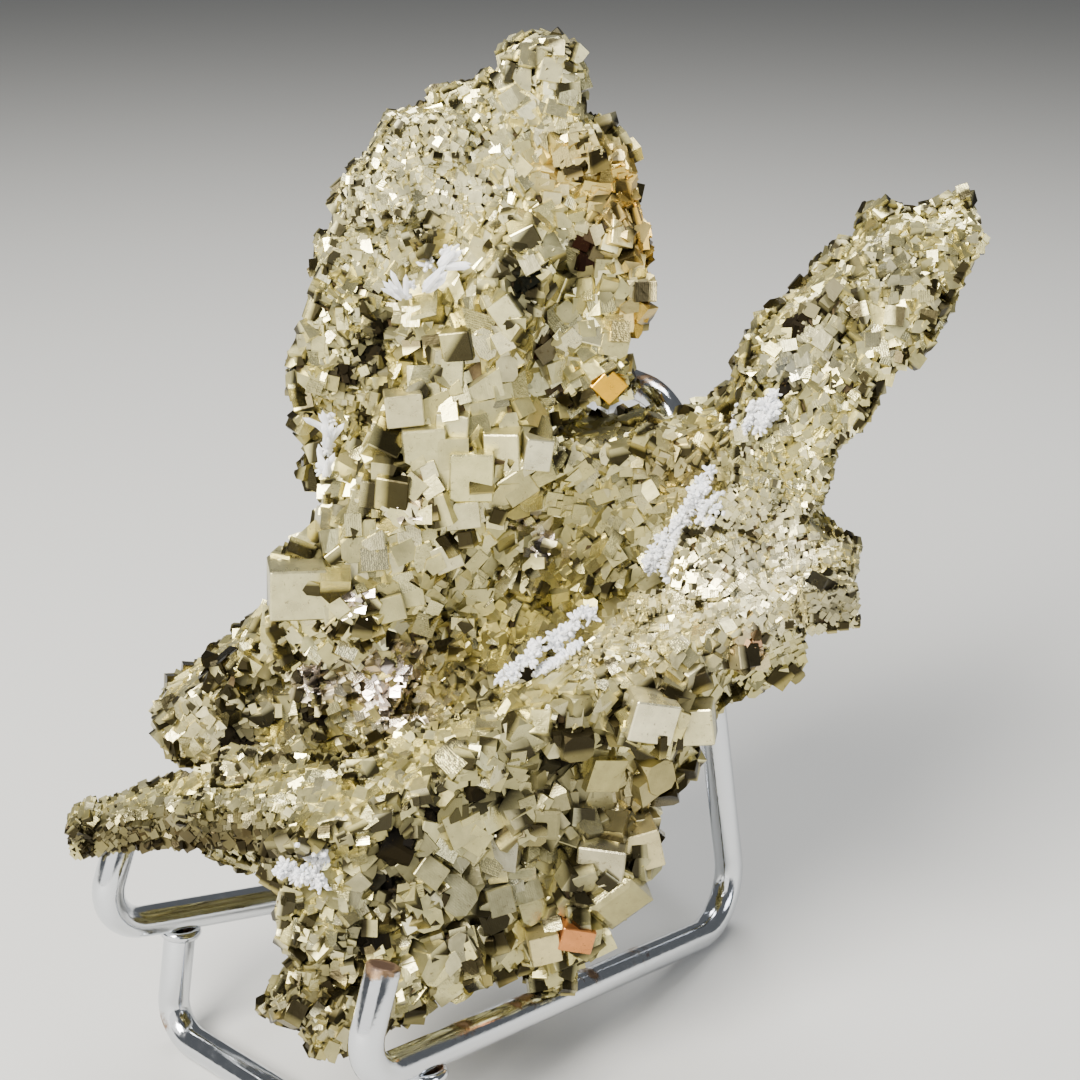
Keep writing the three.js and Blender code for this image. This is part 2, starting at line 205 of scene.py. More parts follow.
# Places on the specimen, in the photograph's frame, in millimetres: where, how far it reaches, the
# cubes' size there, how orderly they are set (0 to 1), and how much they draw out into ledges.
ZONES = [
    ((-18, 10, 118), 12, 1.1, 0.3, 0),  # fine upper left face of the sail
    ((-11, 10, 123), 8, 1.2, 0.3, 0),
    ((-25, 13, 113), 4, 2.6, 0.4, 0),  # coarser left rim
    ((-30, 10, 97), 4, 2.6, 0.4, 0),
    ((0, 15, 131), 7, 2.4, 0.35, 0),  # knob at the top
    ((3, 12, 118), 6, 1.9, 0.4, 0),
    ((8, 13, 113), 7, 2.18, 0.4, 0),  # right of the sail
    ((10, 11, 110), 6, 2.02, 0.3, 0),
    ((8, 10, 101), 8, 2.69, 0.35, 0),
    ((-3, 4, 104), 4, 1.25, 0.2, 0),
    ((-9, 3, 102), 8, 3.6, 0.6, 0),  # rib
    ((-11, 0, 93), 8, 3.9, 0.6, 0),
    ((-16, -1, 91), 5, 3.68, 0.8, 0),
    ((-5, 1, 93), 6, 4.05, 0.8, 0),
    ((-15, -3, 84), 6, 4.6, 0.95, 0),
    ((-9, -4, 82), 6, 4.6, 0.95, 0),
    ((-4, -2, 84), 6, 4.05, 0.9, 0),
    ((-22, 5, 95), 5, 1.17, 0.1, 0),  # pitted face at the left of the rib
    ((-20, 4, 89), 5, 1.17, 0.1, 0),
    ((-18, -6, 71), 9, 2.9, 0.75, 0.1),  # shingled face under the rib
    ((-26, -7, 71), 6, 3.1, 0.75, 0),
    ((-32, -10, 68), 5, 2.52, 0.6, 0),
    ((-23, -8, 61), 7, 2.18, 0.5, 0),
    ((8, 6, 79), 9, 1.9, 0.6, 0.35),  # wall of the hollow, in level ledges
    ((3, 5, 66), 9, 2.2, 0.55, 0.3),
    ((13, 5, 72), 7, 1.7, 0.5, 0.3),
    ((19, 7, 82), 6, 1.8, 0.5, 0.3),
    ((-10, 4, 61), 8, 2.2, 0.55, 0.3),
    ((5, 4, 58), 7, 1.9, 0.5, 0.3),
    ((-5, -4, 75), 5, 2.18, 0.5, 0),
    ((-20, -4, 51), 8, 1.51, 0.2, 0),  # floor of the hollow
    ((-6, 2, 48), 7, 1.68, 0.3, 0),
    ((-28, -4, 56), 6, 1.51, 0.2, 0),
    ((-15, 3, 55), 6, 1.68, 0.3, 0),
    ((-42, -6, 54), 7, 2.02, 0.3, 0),  # lobe at the left
    ((-40, -8, 46), 6, 1.68, 0.2, 0),
    ((-49, -8, 49), 5, 2.18, 0.4, 0),
    ((-58, -18, 40), 8, 0.94, 0.6, 0),  # wing
    ((-46, -18, 42), 9, 1.17, 0.6, 0),
    ((-37, -17, 45), 8, 1.17, 0.6, 0),
    ((-24, -19, 49), 9, 1.6, 0.5, 0),
    ((-14, -19, 52), 6, 1.25, 0.6, 0),
    ((8, -10, 61), 8, 0.86, 0.6, 0),  # ridge
    ((20, -10, 67), 9, 0.78, 0.6, 0),
    ((32, -9, 69), 9, 0.78, 0.6, 0),
    ((38, -8, 71), 5, 0.94, 0.5, 0),
    ((-7, -26, 52), 6, 2.9, 0.35, 0),  # front edge of the ridge
    ((3, -21, 52), 6, 3.2, 0.35, 0),
    ((13, -22, 56), 6, 3.6, 0.45, 0),
    ((22, -17, 58), 6, 3.2, 0.45, 0),
    ((27, -15, 62), 5, 2.02, 0.4, 0),
    ((28, -5, 78), 7, 0.94, 0.4, 0),  # arm
    ((23, -8, 70), 7, 0.86, 0.5, 0),
    ((33, 2, 90), 7, 1.51, 0.3, 0),
    ((37, 5, 102), 6, 2.02, 0.4, 0),
    ((42, 12, 107), 5, 1.68, 0.4, 0),
    ((46, 8, 108), 6, 1.25, 0.4, 0),
    ((54, 13, 112), 6, 1.25, 0.3, 0),
    ((50, 5, 98), 6, 1.85, 0.4, 0),
    ((34, 8, 100), 4, 1.09, 0.1, 0),
    ((-5, -22, 38), 7, 3.68, 0.5, 0),  # keel
    ((8, -21, 34), 7, 4.23, 0.5, 0),
    ((-11, -26, 30), 7, 3.5, 0.5, 0),
    ((3, -19, 43), 7, 3.5, 0.5, 0),
    ((20, -16, 53), 6, 3.86, 0.6, 0),
    ((12, -15, 42), 7, 3.5, 0.5, 0),
    ((-24, -30, 40), 6, 2.02, 0.3, 0),
    ((-17, -29, 41), 6, 2.52, 0.4, 0),
    ((-20, -32, 33), 6, 1.85, 0.2, 0),
    ((-27, -35, 23), 8, 1.68, 0.2, 0),  # fingers
    ((-16.2, -6, 78.3), 3, 1.2, 0.2, 0),  # fine glittering clusters
    ((-23.1, -10.2, 66.3), 3, 1.3, 0.2, 0),
    ((-4, 5.2, 72.3), 4, 1.2, 0.2, 0),
    ((1.2, 3.5, 68.7), 3, 1.2, 0.2, 0),
    ((-19.7, -3.4, 51.8), 6, 1.2, 0.2, 0),
    ((-29.4, -5.8, 53.7), 4, 1.2, 0.2, 0),
]
ELSEWHERE, ELSEWHERE_WEIGHT = (2.2, 0.4, 0), 0.02
ZONE_FALL = 1.2  # how fast a zone's say falls off with the square of the distance, in reaches

# Films of tarnish and of paler and greyer tone, and painted shade on faces that turn downwards: where,
# how far, colour, and how much of it there is
TARNISH_AND_SHADE_FILMS = [
    ((13, 18, 105), 5, "#EAB626", 0.9),  # golden edge of the sail
    ((13, 16, 112), 6, "#E6B432", 0.75),
    ((11, 15, 118), 5, "#DDB950", 0.5),
    ((13, 14, 97), 4, "#E8B62A", 0.8),
    ((3, 12, 118), 4, "#DDB850", 0.5),
    ((-18, 10, 118), 11, "#F6EFBE", 0.75),  # pale fine-grained face of the sail
    ((-10, 9, 112), 8, "#F2EAB8", 0.6),
    ((0, 15, 130), 8, "#F8EFB8", 0.8),
    ((30, -9, 69), 10, "#F4EDC8", 0.7),  # pale top of the ridge
    ((12, -10, 63), 9, "#EEE6BE", 0.5),
    ((-42, -7, 50), 9, "#E6DCAC", 0.5),
    ((3, 4, 70), 11, "#B4AB72", 0.5),  # olive wall
    ((13, 5, 72), 8, "#989062", 0.55),
    ((19, 6, 80), 6, "#A08C5C", 0.5),
    ((-10, 4, 61), 9, "#B4AB78", 0.4),
    ((5, 4, 58), 7, "#8E8556", 0.5),
    ((-18, -2, 50), 9, "#EADFB0", 0.5),
    ((27, -15, 62), 2.2, "#C98A62", 0.85),
    ((36, -15, 69), 3, "#4E4B40", 0.8),  # grey blocks
    ((32, 3, 94), 2.2, "#A9ABA0", 0.8),
    ((45, 9, 104), 4, "#A3A398", 0.6),
    ((37, 5, 97), 4, "#8C8A74", 0.5),
    # Greyer, darker films on the ridge's front edge and the keel, which face down and forwards: grey
    # tarnish, with painted shade
    ((6, -20, 55.5), 4, "#6E6A50", 0.8),
    ((-4, -23, 51), 5, "#7C7858", 0.7),
    ((15.5, -19.6, 57.6), 4, "#86764E", 0.6),
    ((22.5, -15.3, 60), 4, "#6E6648", 0.6),
    ((8, -18, 34), 8, "#8C8B76", 0.75),
    ((-8, -25, 32), 9, "#7E7A62", 0.7),
    ((3, -19, 43), 7, "#6A6448", 0.8),
    ((13, -14, 40), 6, "#8A7A50", 0.7),
    ((-4, 5, 100), 4, "#9C9C82", 0.4),
    ((-27, -35, 24), 7, "#5A4C2A", 0.65),
    ((-58, -18, 37), 3, "#3A3018", 1),  # painted shade on the lower edge of the wing, which faces down
    ((-53.5, -18.8, 37.4), 3.6, "#3A3018", 1),
    ((-49, -20, 38), 4, "#3A3018", 1),
    ((-44.5, -21, 39), 4, "#3A3018", 1),
    ((-40, -22.4, 40), 4, "#3A3018", 1),
    ((-36, -25, 41), 4, "#3A3018", 1),
    ((-32, -28.5, 42), 3.4, "#3A3018", 1),
]
# Pits and gaps, and the band under the ridge's front edge, painted near black: painted shade, with brown
# iron stain and rust in some: where, how far they reach, and colour
PIT_STAIN_AND_SHADE = [
    ((6.3, 11.8, 108), 1.4, "#2C1608"),
    ((6, 11, 105.2), 1.3, "#241208"),
    ((-1, 8, 94), 2, "#3A220C"),
    ((-20.5, 5.5, 98), 1.6, "#1E1A0C"),
    ((-22, 5, 95), 2, "#1A160A"),
    ((-25, 4, 92), 1.8, "#221C0E"),
    ((-20, 4.5, 90), 1.7, "#1E190C"),
    ((-22.5, 4, 87), 1.4, "#2A2410"),
    ((-2.5, 3.4, 104), 2, "#0E0F06"),
    ((-3.5, 4, 99.5), 1.3, "#1E1C0E"),
    ((-40, -8, 45), 2.2, "#1C170C"),
    ((-36, -9, 49), 1.6, "#2A2210"),
    ((-33, -8, 50), 1.8, "#1C170C"),
    ((32.5, 5.6, 99), 1.7, "#1E180C"),
    ((35.5, 5.6, 101.5), 1.8, "#221A0C"),
    ((31.5, 3, 91.5), 1.3, "#16120A"),
    ((33.5, 1, 80), 1.4, "#2A2410"),
    ((-17, -29.4, 42.5), 2.2, "#100D08"),
    ((-18.5, -30.5, 37.5), 2.2, "#100D08"),
    ((-21, -33, 31.5), 2, "#16120A"),
    ((-12.4, -26.5, 46), 2.2, "#16120A"),
    ((-7, -25, 46.5), 1.8, "#1C170C"),
    ((2.5, -18.7, 48.5), 2, "#1C170C"),
    ((10, -17, 50), 1.8, "#1C170C"),
    ((-8, 2, 46.5), 2.2, "#16120A"),
    ((-2, 2.5, 50.5), 1.8, "#1C170C"),
    ((-30, -5, 48), 1.8, "#1C170C"),
]
# Clusters of glittering faces, pale pink-white as a painted highlight: where, and how far they reach
GLITTER = [
    ((-29.4, -5.8, 53.7), 3),
    ((-19.7, -3.4, 51.8), 5),
    ((-18.9, -1.3, 48.3), 4),
    ((-4, 5.2, 72.3), 3),
    ((1.2, 3.5, 68.7), 2.5),
    ((-16.2, -6, 78.3), 2.5),
    ((-23.1, -10.2, 66.3), 2.5),
    ((-5, -4, 75), 2.5),
    ((-3, 8, 96), 2.5),
]
# They share one setting, which throws the light from the upper left forward
FLASH = Vector((-0.172, -0.769, 0.615)).normalized()  # half-way between the key and the camera
# The painted highlight of the glittering faces: a pale pink-white
GLINT_HIGHLIGHT_TONE = srgb("#FFF0E6")[:3]
GLITTER_LARGEST = 1.6  # crystals under this many millimetres take part in the clusters
GLITTER_SHARE = 0.75  # of the crystals in a cluster glitter
BRASS_LIGHTNESS, FILM_PATCHINESS, PIT_RAGGEDNESS = (0.74, 1.12), (0.55, 1.0), (0.8, 1.7)
BRASS_TONES = [srgb(c)[:3] for c in ("#E4DCA2", "#DAD196", "#CFC68A", "#E1D9A8", "#C8C08A", "#D6CB88")]

# The large single cubes that catch the eye: place, width, depth and height, turn in degrees about
# the line of sight and about the vertical, and colour
SINGLE_CUBES = [
    ((-31, -8.5, 68), (7.2, 6, 6.8), (3, 12), "#CFC898"),
    ((-26, -8, 64.5), (4.5, 4.5, 4.5), (-6, 20), "#C9C294"),
    ((-17.2, -2, 90), (4.8, 4, 4.2), (-4, 8), "#D3CB9C"),
    ((-14.6, -2.2, 82.8), (5.6, 5, 10), (-3, 6), "#C9C28E"),
    ((-8.8, -3, 81.6), (5.6, 5, 6.4), (2, 4), "#D6CE92"),
    ((-11, -1.4, 87), (4.2, 4, 4.6), (4, -6), "#CCC594"),
    ((-4.6, -1.6, 84.4), (4.6, 4.4, 5), (-2, -8), "#D3CB96"),
    ((-0.6, -1.6, 84), (3.6, 4, 4.2), (10, 14), "#E4DEB6"),
    ((-10, -3.8, 76.6), (4.6, 4, 3.6), (-5, 5), "#CFC898"),
    ((8.9, 8.8, 89.8), (3.6, 3.2, 3.6), (45, 8), "#EAB222"),
    ((13.5, -21.6, 56.5), (5.8, 5, 5.4), (14, 12), "#E3DCB4"),
    ((19.5, -17.4, 53.5), (5, 4, 5), (-8, -10), "#D6CE9E"),
    ((35.4, -13.2, 69.6), (3.8, 3.4, 3.4), (32, 30), "#3C3A33"),
    ((8, -19.2, 34.3), (6.2, 5, 6), (4, -8), "#B5AE8C"),
    ((13, -15.8, 34.8), (5, 5, 5.6), (-12, 10), "#CBBF8E"),
    ((4.6, -21.8, 25), (4.4, 4, 3.4), (14, 6), "#C8844C"),
    ((0.4, -22.4, 23.8), (4, 3.6, 4.2), (-8, 12), "#D2C48C"),
    ((-5, -21.2, 38), (5.4, 4.5, 5), (6, -14), "#A9A58C"),
    ((-12, -24.8, 30.5), (5.4, 5, 5), (-10, 8), "#BDB58E"),
]

# Each triangle of the rock: two of its edges, its area and its normal
edges_ab = corners[:, 1] - corners[:, 0]
edges_ac = corners[:, 2] - corners[:, 0]
crossed = np.cross(edges_ab, edges_ac)
face_areas = np.linalg.norm(crossed, axis=1) / 2
face_normals = crossed / (2 * face_areas[:, None] + 1e-12)


def points_on_rock(count, areas=face_areas):
    """Random places on the rock, even by area, with the normals there."""
    chosen = dice.choice(len(corners), size=count, p=areas / areas.sum())
    along, beside = dice.random((2, count, 1))
    folded = along + beside > 1
    along, beside = np.where(folded, 1 - along, along), np.where(folded, 1 - beside, beside)
    spots = corners[chosen, 0] + along * edges_ab[chosen] + beside * edges_ac[chosen]
    return spots, face_normals[chosen]


def unit(rows):
    """The rows, each made 1 long."""
    return rows / np.linalg.norm(rows, axis=1)[:, None]


def tree_of(spots):
    """A search tree of the spots."""
    made = KDTree(len(spots))
    for index, spot in enumerate(spots):
        made.insert(spot, index)
    made.balance()
    return made


def reaches_away(spots, centre, reach):
    """How far the spots are from a place on the specimen, in its own reaches."""
    return np.linalg.norm(spots / MM - np.array(Vector(centre) + OFFSET), axis=1) / reach


# The lie of the rock at each place, smoothed over a few millimetres: crystals follow it, and not the
# sides of each bump
LIE_POINTS, LIE_REACH = 9000, 4.5 * MM
LIE_NEIGHBOURS = 5
lie_spots, lie_own = points_on_rock(LIE_POINTS)
lie_tree = tree_of(lie_spots)
lie_smooth = np.empty_like(lie_own)
for index, spot in enumerate(lie_spots):
    around = lie_own[[found[1] for found in lie_tree.find_range(spot, LIE_REACH)]]
    facing = np.clip(around @ lie_own[index], 0, 1) + 1e-3
    lie_smooth[index] = (around * facing[:, None]).sum(0)
lie_smooth = unit(lie_smooth)


def lie_at(spots, own):
    """The smoothed normals at the spots, of the side of the blade that each spot is on."""
    near = np.array([[found[1] for found in lie_tree.find_n(spot, LIE_NEIGHBOURS)] for spot in spots])
    facing = np.clip(np.einsum("nkj,nj->nk", lie_smooth[near], own), 0, 1) ** 2 + 1e-4
    return unit((lie_smooth[near] * facing[:, :, None]).sum(1))


def zone_values(spots):
    """The usual size in millimetres, the order and the ledges at each place."""
    weights = np.full(len(spots), ELSEWHERE_WEIGHT)
    total = weights[:, None] * np.array(ELSEWHERE)
    for centre, reach, *values in ZONES:
        away = reaches_away(spots, centre, reach)
        near = np.exp(-(away**2) * ZONE_FALL)
        weights += near
        total = total + near[:, None] * np.array(values)
    return (total / weights[:, None]).T


def brass_colours(spots):
    """Each crystal's tone of brass under the films of tarnish and painted shade that reach it, darkened
    in the pits with stain and painted shade, and how far it is down in a pit, 0 to 1."""
    tones = np.array(BRASS_TONES)[dice.integers(len(BRASS_TONES), size=len(spots))]
    tones = tones * dice.uniform(*BRASS_LIGHTNESS, (len(spots), 1))
    for centre, reach, colour, amount in TARNISH_AND_SHADE_FILMS:
        away = reaches_away(spots, centre, reach)
        share = amount * np.clip(1.5 - away, 0, 1) * dice.uniform(*FILM_PATCHINESS, len(spots))
        tones = tones * (1 - share[:, None]) + np.array(srgb(colour)[:3]) * share[:, None]
    depth = np.zeros(len(spots))
    # Painted shade and stain darken the crystals in the pits
    for centre, reach, colour in PIT_STAIN_AND_SHADE:
        away = reaches_away(spots, centre, reach)
        share = np.clip(1.9 - away * dice.uniform(*PIT_RAGGEDNESS, len(spots)), 0, 1)
        tones = tones * (1 - share[:, None]) + np.array(srgb(colour)[:3]) * share[:, None]
        depth = np.maximum(depth, share)
    return np.clip(tones, 0, 1), depth


def glitter_at(spots):
    """How much each crystal belongs to a cluster of glittering faces, 0 to 1."""
    most = np.zeros(len(spots))
    for centre, reach in GLITTER:
        away = reaches_away(spots, centre, reach)
        most = np.maximum(most, np.clip(1.5 - away, 0, 1))
    return most * (dice.random(len(spots)) < GLITTER_SHARE)


def turns_about(axes, angles):
    """Turning matrices about unit axes."""
    x, y, z = axes.T
    c, s = np.cos(angles), np.sin(angles)
    k = 1 - c
    return np.stack(
        [
            np.stack([c + x * x * k, x * y * k - z * s, x * z * k + y * s], 1),
            np.stack([y * x * k + z * s, c + y * y * k, y * z * k - x * s], 1),
            np.stack([z * x * k - y * s, z * y * k + x * s, c + z * z * k], 1),
        ],
        1,
    )


def random_axes(count):
    """Unit axes that point all ways alike."""
    return unit(dice.normal(size=(count, 3)))


# Patches of the crust whose crystals share one setting, and how far, in radians, the patches and
# the crystals in them are tilted
PATCHES, PATCH_TILT, OWN_TILT = 900, 0.28, 0.17
WILD_SHARE = 0.65  # of the crystals where there is no order are turned anyhow
patch_spots, _ = points_on_rock(PATCHES)
patch_axes, patch_tilts = random_axes(PATCHES), dice.normal(0, PATCH_TILT, PATCHES)
patch_spins = dice.uniform(0, math.pi / 2, PATCHES)
patches = tree_of(patch_spots)

NEARLY_UP = (0.02, 0.05, 1.0)  # so that its cross with an upright lie isn't zero


def crystal_turns(spots, lie, order, ledges):
    """How each crystal is set: flat on the rock, with its patch's tilt and a little of its own."""
    count = len(spots)
    nearest = np.array([patches.find(spot)[1] for spot in spots])
    level = unit(np.cross(lie, np.array(NEARLY_UP)))
    flat = np.stack([level, np.cross(lie, level), lie], 2)
    settled = np.maximum(ledges, order**2)
    spin = turns_about(np.tile([0.0, 0.0, 1.0], (count, 1)), patch_spins[nearest] * (1 - settled))
    tilt = turns_about(patch_axes[nearest], patch_tilts[nearest] * (1.35 - order))
    small = turns_about(random_axes(count), dice.normal(0, OWN_TILT, count) * (1.3 - order))
    wild = turns_about(random_axes(count), dice.uniform(0, 3.1, count))
    own = np.where((dice.random(count) < WILD_SHARE * (1 - order))[:, None, None], wild, small)
    return own @ tilt @ flat @ spin


def step_faces(shape):
    """Raises a lower step on three faces of a cube."""
    for way in (Vector((0, 0, 1)), Vector((1, 0, 0)), Vector((0, -1, 0))):
        top = [f for f in shape.faces if f.normal.dot(way) > 0.99]
        face = max(top, key=lambda f: f.calc_area())
        bmesh.ops.inset_region(shape, faces=[face], thickness=STEP_INSET, use_even_offset=True)
        bmesh.ops.translate(shape, verts=face.verts, vec=way * STEP_RISE)
        shape.normal_update()
    bmesh.ops.scale(shape, verts=shape.verts, vec=Vector.Fill(3, STEPPED_SCALE))


def cut_oddly(shape):
    """Cuts a cube by planes at random, as neighbours that grow against it do."""
    for axis in random_axes(ODD_CUTS):
        whole = list(shape.verts) + list(shape.edges) + list(shape.faces)
        away = Vector(axis) * dice.uniform(*ODD_CUT_FROM_MIDDLE)
        bmesh.ops.bisect_plane(
            shape, geom=whole, plane_co=away, plane_no=axis, clear_outer=True, dist=1e-5
        )
        bmesh.ops.holes_fill(shape, edges=[e for e in shape.edges if e.is_boundary], sides=0)
    bmesh.ops.recalc_face_normals(shape, faces=shape.faces)


# Sizes of the habits, in widths of the cube
WORN_EDGE, CUT_CORNER = 0.035, 0.22
STEP_INSET, STEP_RISE, STEPPED_SCALE = 0.11, 0.07, 0.95
ODD_CUTS, ODD_CUT_FROM_MIDDLE = 3, (0.28, 0.46)


def crystal_habit(kind):
    """One crystal, 1 across: a cube, worn at its edges, cut at its corners, stepped, or grown against
    its neighbours, which leaves it with a few odd faces."""
    shape = bmesh.new()
    bmesh.ops.create_cube(shape, size=1.0)
    bevel = {"segments": 1, "profile": 0.5, "material": -1}
    if kind == "worn":
        bmesh.ops.bevel(shape, geom=shape.edges, offset=WORN_EDGE, affect="EDGES", **bevel)
    if kind == "cornered":
        bmesh.ops.bevel(shape, geom=shape.verts, offset=CUT_CORNER, affect="VERTICES", **bevel)
    if kind == "stepped":
        step_faces(shape)
    if kind.startswith("odd"):
        cut_oddly(shape)
    shape.normal_update()
    return mesh_of("crystal_habit", shape)


def habit_arrays(mesh):
    """The crystal's vertices, its faces' corners and lengths, and the corners' places on their faces."""
    verts = np.empty(len(mesh.vertices) * 3)
    mesh.vertices.foreach_get("co", verts)
    loops = np.empty(len(mesh.loops), dtype=np.int32)
    mesh.loops.foreach_get("vertex_index", loops)
    starts = np.array([p.loop_start for p in mesh.polygons], dtype=np.int32)
    totals = np.array([p.loop_total for p in mesh.polygons], dtype=np.int32)
    verts = verts.reshape(-1, 3)
    # The growth lines run one way on each pair of faces, and across on the next
    axes = [int(np.argmax(np.abs(p.normal[:]))) for p in mesh.polygons]
    across = np.repeat([(a + 1) % 3 for a in axes], totals)
    along = np.repeat([(a + 2) % 3 for a in axes], totals)
    return verts, loops, starts, across, along


ODD = ("odd_a", "odd_b", "odd_c", "odd_d")
HABIT_NAMES = ("plain", "worn", "cornered", "stepped", *ODD)
HABITS = {kind: habit_arrays(crystal_habit(kind)) for kind in HABIT_NAMES}


def join_crystals(name, groups, finish):
    """One mesh of many crystals. A group is (habit, places, turns, sizes, lie, how deep each
    is sunk, colours, roughness)."""
    verts, loops, starts, lines, tints, heights = [], [], [], [], [], []
    vert_base = loop_base = 0
    for kind, places, turns, sizes, lie, sunk, tones, rough in groups:
        shape, shape_loops, shape_starts, across, along = HABITS[kind]
        count = len(places)
        if not count:
            continue
        scaled = shape[None] * sizes[:, None, :]
        offsets = np.einsum("nij,nvj->nvi", turns, scaled)
        verts.append((offsets + places[:, None]).reshape(-1, 3))
        height = (np.einsum("nvi,ni->nv", offsets, lie) - sunk[:, None]) / sizes.mean(1)[:, None]
        heights.append(height.ravel())
        steps = np.arange(count)[:, None]
        loops.append((shape_loops[None] + steps * len(shape) + vert_base).ravel())
        starts.append((shape_starts[None] + steps * len(shape_loops) + loop_base).ravel())
        at, picks = scaled[:, shape_loops], np.arange(len(shape_loops))
        lines.append(np.stack([at[:, picks, across], at[:, picks, along]], 2).reshape(-1, 2) / MM)
        tints.append(np.repeat(np.hstack([tones, rough[:, None]]), len(shape), axis=0))
        vert_base += count * len(shape)
        loop_base += count * len(shape_loops)
    mesh = bpy.data.meshes.new(name)
    mesh.vertices.add(vert_base)
    mesh.vertices.foreach_set("co", np.concatenate(verts).ravel())
    mesh.loops.add(loop_base)
    mesh.loops.foreach_set("vertex_index", np.concatenate(loops).astype(np.int32))
    all_starts = np.concatenate(starts).astype(np.int32)
    mesh.polygons.add(len(all_starts))
    mesh.polygons.foreach_set("loop_start", all_starts)
    mesh.update(calc_edges=True)
    mesh.validate()
    mesh.shade_flat()
    mesh.uv_layers.new(name="faces_mm").data.foreach_set("uv", np.concatenate(lines).ravel())
    tint = mesh.attributes.new("tint", "FLOAT_COLOR", "POINT")
    tint.data.foreach_set("color", np.concatenate(tints).ravel())
    height = mesh.attributes.new("height", "FLOAT", "POINT")
    height.data.foreach_set("value", np.concatenate(heights))
    mesh.materials.append(finish)
    return in_scene(name, mesh)


# Pyrite crystal faces: pale brassy metal, satin from a thin bloom, with fine growth lines and specks.
crystal_face, tree, out = new_finish("pyrite_crystal_faces")
place = add(tree, "ShaderNodeTexCoord")
tint = add(tree, "ShaderNodeAttribute", [("attribute_name", "tint")])
height = add(tree, "ShaderNodeAttribute", [("attribute_name", "height")])
lines = add(tree, "ShaderNodeUVMap", [("uv_map", "faces_mm")])
bloom = noise(tree, place, 420.0, 5.0, 0.6)
tinted = add(
    tree,
    "ShaderNodeVectorMath",
    [("operation", "SCALE")],
    [(0, tint.outputs["Color"]), ("Scale", mapped(tree, bloom, 0.3, 0.7, 0.78, 1.12))],
)
specks = noise(tree, place, 1500.0, 3.0, 0.7)
speck_share = mapped(tree, specks, 0.62, 0.72, 0.0, 0.7)
specked = covered(tree, tinted.outputs["Vector"], "#5A4826", speck_share)
# Painted shade in the cracks: up to a twentieth of a crystal's size above the rock, the faces are
# darkened
crack_shade = mapped(tree, height.outputs["Fac"], -0.22, 0.05, 0.95, 0.0)
growth = add(
    tree,
    "ShaderNodeTexWave",
    [("Scale", 1.1), ("Distortion", 1.5), ("Detail", 2.0), ("Detail Scale", 2.0)],
    [("Vector", lines.outputs["UV"])],
)
growth_lines = bumped(tree, growth.outputs["Fac"], 0.045, 0.0001)
face_shader = add(
    tree,
    "ShaderNodeBsdfPrincipled",
    [("Metallic", 0.88)],
    [
        ("Base Color", covered(tree, specked, "#221C0C", crack_shade)),
        ("Roughness", scaled(tree, bloom, 0.18, tint.outputs["Alpha"])),
        ("Normal", bumped(tree, specks, 0.25, 0.0002, growth_lines)),
    ],
)
tree.links.new(face_shader.outputs["BSDF"], out.inputs["Surface"])

# The crust is laid from the largest cubes down. A smaller one takes only the room that is left.
singles = len(SINGLE_CUBES)
single_spots = np.array([Vector(place) + OFFSET for place, _, _, _ in SINGLE_CUBES]) * MM
single_sizes = np.array([size for _, size, _, _ in SINGLE_CUBES]) * MM
single_turns = np.array(
    [
        Matrix.Rotation(math.radians(upright), 3, "Z") @ Matrix.Rotation(math.radians(rolled), 3, "Y")
        for _, _, (rolled, upright), _ in SINGLE_CUBES
    ]
)
single_tones = np.array([srgb(colour)[:3] for _, _, _, colour in SINGLE_CUBES])
show_side = np.tile([0.0, -0.9, 0.436], (singles, 1))  # towards the camera
none, satin = np.zeros(singles), np.full(singles, 0.2)
laid = [("worn", single_spots, single_turns, single_sizes, show_side, none, single_tones, satin)]

# The room that crystals take, in their own sizes: single cubes, crystals among smaller ones, and
# crystals among their equals
SINGLE_REACH, CLASS_REACH, SPACING = 0.68, 0.36, 0.62
taken_spots, taken_reach = [single_spots], [single_sizes.mean(1) * SINGLE_REACH]

# Each class of crystal: size in millimetres, how many places are tried, and its habits
CLASSES = [
    (5.2, 3000, ("worn", "worn", "stepped", "odd_a")),
    (3.9, 9000, ("worn", "cornered", "stepped", *ODD)),
    (2.9, 22000, ("worn", "cornered", "worn", *ODD)),
    (2.1, 46000, ("plain", "plain", *ODD)),
    (1.5, 80000, ("plain", "plain", *ODD)),
    (1.05, 120000, ("plain", "plain", "odd_a", "odd_b")),
    (0.75, 220000, ("plain", "odd_a")),
]

# A class thins out above and below the usual size of a place, by the size's logarithm
TOO_LARGE, TOO_SMALL = 0.16, 0.5
CELLS_AROUND = [(i, j, k) for i in (-1, 0, 1) for j in (-1, 0, 1) for k in (-1, 0, 1)]
GLITTER_SET = 0.3  # crystals that belong more than this to a cluster share its setting
# How orderly the glitter clusters are set, and how much of their colour is painted highlight
GLITTER_ORDER, GLINT_HIGHLIGHT_COVER = 0.6, 0.9
# Painted shade on the crystals that face down: how much of each colour is taken
UNDERSIDE_SHADE = (0.5, 0.53, 0.62)  # of red, green and blue
SIZE_SPREAD, SIDE_SPREAD = (0.85, 1.2), (0.8, 1.2)  # of whole crystals, and of each of their sides
ROUGHNESS_SPREAD = (0.1, 0.32)


def wanted_at(spots, size):
    """Which of the spots a class of crystals is to be tried at, and the order and ledges there."""
    usual, order, ledges = zone_values(spots)
    misfit = np.log(size / usual)
    chance = np.exp(-np.where(misfit > 0, (misfit / TOO_LARGE) ** 2, (misfit / TOO_SMALL) ** 2))
    return dice.random(len(spots)) < chance, order, ledges


